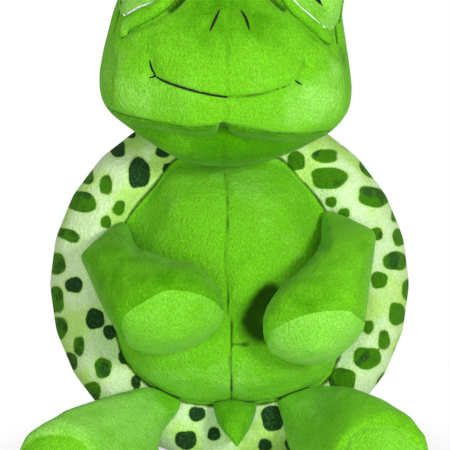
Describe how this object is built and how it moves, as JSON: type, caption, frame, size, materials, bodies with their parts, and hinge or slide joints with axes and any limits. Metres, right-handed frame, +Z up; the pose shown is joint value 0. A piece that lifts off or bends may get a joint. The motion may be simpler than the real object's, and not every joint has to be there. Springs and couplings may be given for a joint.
{
  "type": "plush turtle",
  "caption": "Sitting plush turtle with a stuffed head that turns and nods, a padded spotted shell, sewn arms and legs that lift, and a small tail.",
  "frame": {"origin": "on the floor, under the middle of the shell's disc, on the flat where the shell rests", "axes": "+Z up, -Y the way the face and belly look, +X to the right of someone who looks at the face"},
  "size_m": [0.2075, 0.1739, 0.3026],
  "materials": {
    "lime_plush": "short pile plush",
    "pale_lime_plush": "short pile plush, lighter",
    "spotted_plush": "short pile plush, pale with dark green spots",
    "eye_satin": "smooth stitched fabric",
    "black_embroidery": "dark thread",
    "white_embroidery": "white thread",
    "polyester_fibre": "loose fibre filling"
  },
  "bodies": {
    "body": {"belly_panel_left": "lime_plush", "belly_panel_right": "lime_plush", "body_stuffing": "polyester_fibre", "shell_back": "spotted_plush", "shell_underside": "spotted_plush"},
    "neck": {"neck_stuffing": "polyester_fibre"},
    "head": {"chin_panel_left": "lime_plush", "chin_panel_right": "lime_plush", "eye_dome_left": "eye_satin", "eye_dome_right": "eye_satin", "eye_highlight_left": "white_embroidery", "eye_highlight_right": "white_embroidery", "eye_piping_left": "white_embroidery", "eye_piping_right": "white_embroidery", "eye_stuffing_left": "polyester_fibre", "eye_stuffing_right": "polyester_fibre", "face_panel_left": "lime_plush", "face_panel_right": "lime_plush", "head_back_panel": "lime_plush", "head_stuffing": "polyester_fibre", "lower_eyelid_left": "lime_plush", "lower_eyelid_right": "lime_plush", "mouth_corner_left": "black_embroidery", "mouth_corner_right": "black_embroidery", "mouth_thread": "black_embroidery", "nostril_thread_left": "black_embroidery", "nostril_thread_right": "black_embroidery", "pupil_left": "black_embroidery", "pupil_right": "black_embroidery", "upper_eyelid_left": "lime_plush", "upper_eyelid_right": "lime_plush"},
    "arm_left": {"arm_left_cover": "lime_plush", "arm_left_stuffing": "polyester_fibre", "palm_pad_left": "pale_lime_plush"},
    "arm_right": {"arm_right_cover": "lime_plush", "arm_right_stuffing": "polyester_fibre", "palm_pad_right": "pale_lime_plush"},
    "leg_left": {"leg_left_cover": "lime_plush", "leg_left_stuffing": "polyester_fibre", "sole_left": "pale_lime_plush"},
    "leg_right": {"leg_right_cover": "lime_plush", "leg_right_stuffing": "polyester_fibre", "sole_right": "pale_lime_plush"},
    "tail": {"tail_cover": "lime_plush", "tail_stuffing": "polyester_fibre"}
  },
  "joints": [
    {"name": "head_turn", "type": "hinge", "parent": "body", "child": "neck", "pos_m": [0, 0.007, 0.2045], "axis": [0, 0, 1], "range_deg": [-18, 18], "stiffness_Nm_per_rad": 1.2},
    {"name": "head_nod", "type": "hinge", "parent": "neck", "child": "head", "pos_m": [0, 0.007, 0.2045], "axis": [1, 0, 0], "range_deg": [-15, 3], "stiffness_Nm_per_rad": 1.2},
    {"name": "arm_left_lift", "type": "hinge", "parent": "body", "child": "arm_left", "pos_m": [-0.056, -0.03, 0.142], "axis": [-0.866, 0.5, 0], "range_deg": [0, 45], "stiffness_Nm_per_rad": 0.3},
    {"name": "arm_right_lift", "type": "hinge", "parent": "body", "child": "arm_right", "pos_m": [0.055, -0.03, 0.145], "axis": [-0.866, -0.5, 0], "range_deg": [0, 45], "stiffness_Nm_per_rad": 0.3},
    {"name": "leg_left_lift", "type": "hinge", "parent": "body", "child": "leg_left", "pos_m": [-0.038, -0.03, 0.045], "axis": [-1, 0, 0], "range_deg": [0, 30], "stiffness_Nm_per_rad": 0.3},
    {"name": "leg_right_lift", "type": "hinge", "parent": "body", "child": "leg_right", "pos_m": [0.038, -0.03, 0.045], "axis": [-1, 0, 0], "range_deg": [0, 30], "stiffness_Nm_per_rad": 0.3},
    {"name": "tail_lift", "type": "hinge", "parent": "body", "child": "tail", "pos_m": [0.001, -0.034, 0.043], "axis": [-1, 0, 0], "range_deg": [0, 30], "stiffness_Nm_per_rad": 0.1}
  ]
}
